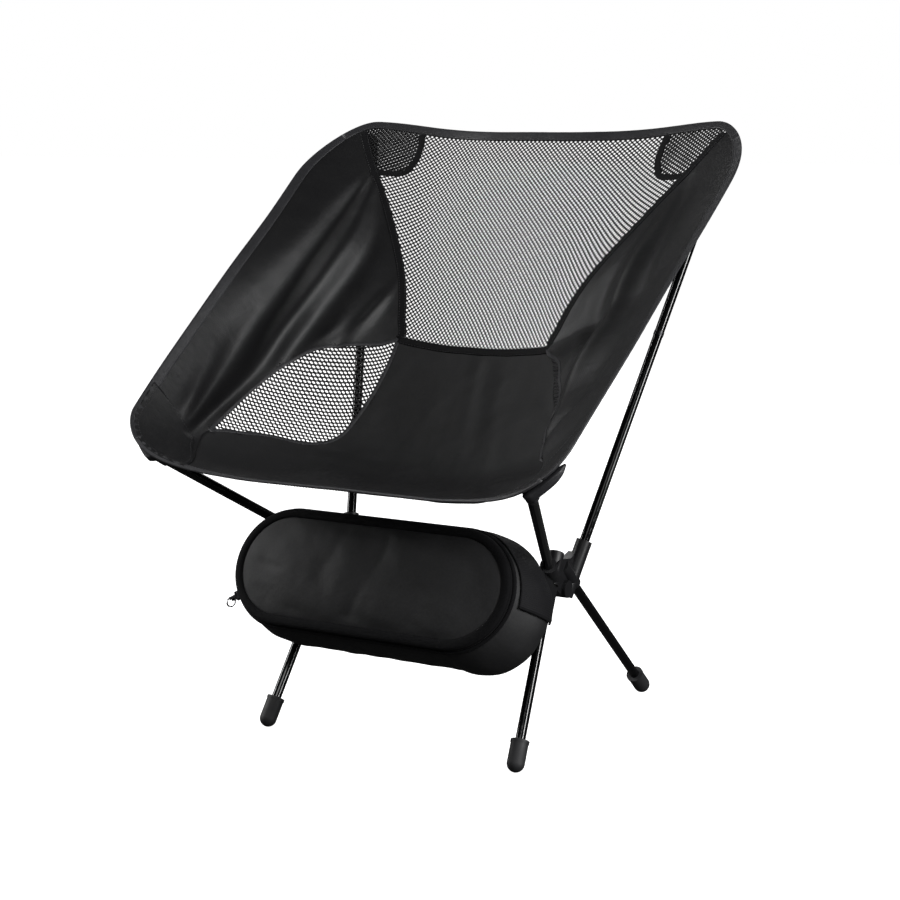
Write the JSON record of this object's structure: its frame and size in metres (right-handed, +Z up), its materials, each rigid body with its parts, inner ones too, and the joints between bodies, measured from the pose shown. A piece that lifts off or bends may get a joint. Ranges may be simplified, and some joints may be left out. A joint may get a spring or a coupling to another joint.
{
  "type": "backpacking chair",
  "caption": "Ultralight folding camp chair: pole frame on hubs with rubber feet, sling seat with mesh panels and a zipped bag hung under the seat.",
  "frame": {"origin": "on the floor, at the middle of the chair in plan", "axes": "+Z up; the chair faces -Y; +X is the sitter's left"},
  "size_m": [0.5388, 0.4739, 0.6421],
  "materials": {
    "anodised_pole": "glossy black anodised",
    "bare_alloy": "satin anodised",
    "hub": "moulded glass-filled nylon",
    "rivet": "blackened",
    "rubber": "matte moulded",
    "tip_plastic": "moulded",
    "shock_cord": "braided elastic",
    "oxford_cloth": "plain weave, coated",
    "mesh_cloth": "open knitted net",
    "binding": "folded grosgrain",
    "strap": "webbing",
    "zip_tape": "woven tape with coil teeth",
    "slider_metal": "satin",
    "pull_wire": "polished wire"
  },
  "bodies": {
    "chair": {"crossbar": "anodised_pole", "crossbar_rivets": "rivet", "left_hub": "hub", "right_hub": "hub", "front_left_leg_cord": "shock_cord", "front_right_leg_cord": "shock_cord", "rear_left_leg_cord": "shock_cord", "rear_right_leg_cord": "shock_cord", "front_left_pole": "anodised_pole", "front_right_pole": "anodised_pole", "left_back_lower_pole": "anodised_pole", "right_back_lower_pole": "anodised_pole", "left_ferrule": "bare_alloy", "right_ferrule": "bare_alloy", "left_back_upper_pole": "anodised_pole", "right_back_upper_pole": "anodised_pole", "front_left_pole_tip": "tip_plastic", "front_right_pole_tip": "tip_plastic", "back_left_pole_tip": "tip_plastic", "back_right_pole_tip": "tip_plastic", "front_left_pole_cord": "shock_cord", "front_right_pole_cord": "shock_cord", "back_left_pole_cord": "shock_cord", "back_right_pole_cord": "shock_cord", "seat_base_panel": "oxford_cloth", "left_side_panel": "oxford_cloth", "right_side_panel": "oxford_cloth", "back_mesh_panel": "mesh_cloth", "left_lower_mesh": "mesh_cloth", "right_lower_mesh": "mesh_cloth", "front_hem": "binding", "top_hem": "binding", "left_edge_hem": "binding", "right_edge_hem": "binding", "left_back_seam_tape": "binding", "right_back_seam_tape": "binding", "rear_seam_tape": "binding", "front_left_pocket": "oxford_cloth", "front_right_pocket": "oxford_cloth", "back_left_pocket": "oxford_cloth", "back_right_pocket": "oxford_cloth", "bag_body": "oxford_cloth", "bag_zip_tape": "zip_tape", "left_bag_strap": "strap", "right_bag_strap": "strap"},
    "front_left_leg": {"front_left_leg": "anodised_pole", "front_left_foot": "rubber"},
    "front_right_leg": {"front_right_leg": "anodised_pole", "front_right_foot": "rubber"},
    "rear_left_leg": {"rear_left_leg": "anodised_pole", "rear_left_foot": "rubber"},
    "rear_right_leg": {"rear_right_leg": "anodised_pole", "rear_right_foot": "rubber"},
    "lid": {"bag_lid": "oxford_cloth", "bag_lid_piping": "binding"},
    "slider": {"zip_slider": "slider_metal"},
    "pull": {"zip_pull": "pull_wire"}
  },
  "joints": [
    {"name": "front_left_leg_pull", "type": "slide", "parent": "chair", "child": "front_left_leg", "axis": [0.0743, -0.5465, -0.8341], "range_m": [0, 0.06], "stiffness_N_per_m": 200, "springref_m": -0.05},
    {"name": "front_right_leg_pull", "type": "slide", "parent": "chair", "child": "front_right_leg", "axis": [-0.0743, -0.5465, -0.8341], "range_m": [0, 0.06], "stiffness_N_per_m": 200, "springref_m": -0.05},
    {"name": "rear_left_leg_pull", "type": "slide", "parent": "chair", "child": "rear_left_leg", "axis": [0.0697, 0.7179, -0.6926], "range_m": [0, 0.06], "stiffness_N_per_m": 200, "springref_m": -0.05},
    {"name": "rear_right_leg_pull", "type": "slide", "parent": "chair", "child": "rear_right_leg", "axis": [-0.0697, 0.7179, -0.6926], "range_m": [0, 0.06], "stiffness_N_per_m": 200, "springref_m": -0.05},
    {"name": "bag_lid_hinge", "type": "hinge", "parent": "chair", "child": "lid", "pos_m": [-0.003, -0.12167, 0.24333], "axis": [-1, 0, 0], "range_deg": [0, 60]},
    {"name": "zip_slider_run", "type": "hinge", "parent": "chair", "child": "slider", "pos_m": [-0.101, -0.14964, 0.188], "axis": [0, -0.891, 0.454], "range_deg": [0, 55]},
    {"name": "zip_pull_swing", "type": "hinge", "parent": "slider", "child": "pull", "pos_m": [-0.15998, -0.16616, 0.15007], "axis": [0, -0.891, 0.454], "range_deg": [-65, 15]}
  ],
  "couplings": [
    {"joint": "zip_slider_run", "follows": "bag_lid_hinge", "ratio": 0.91667}
  ]
}
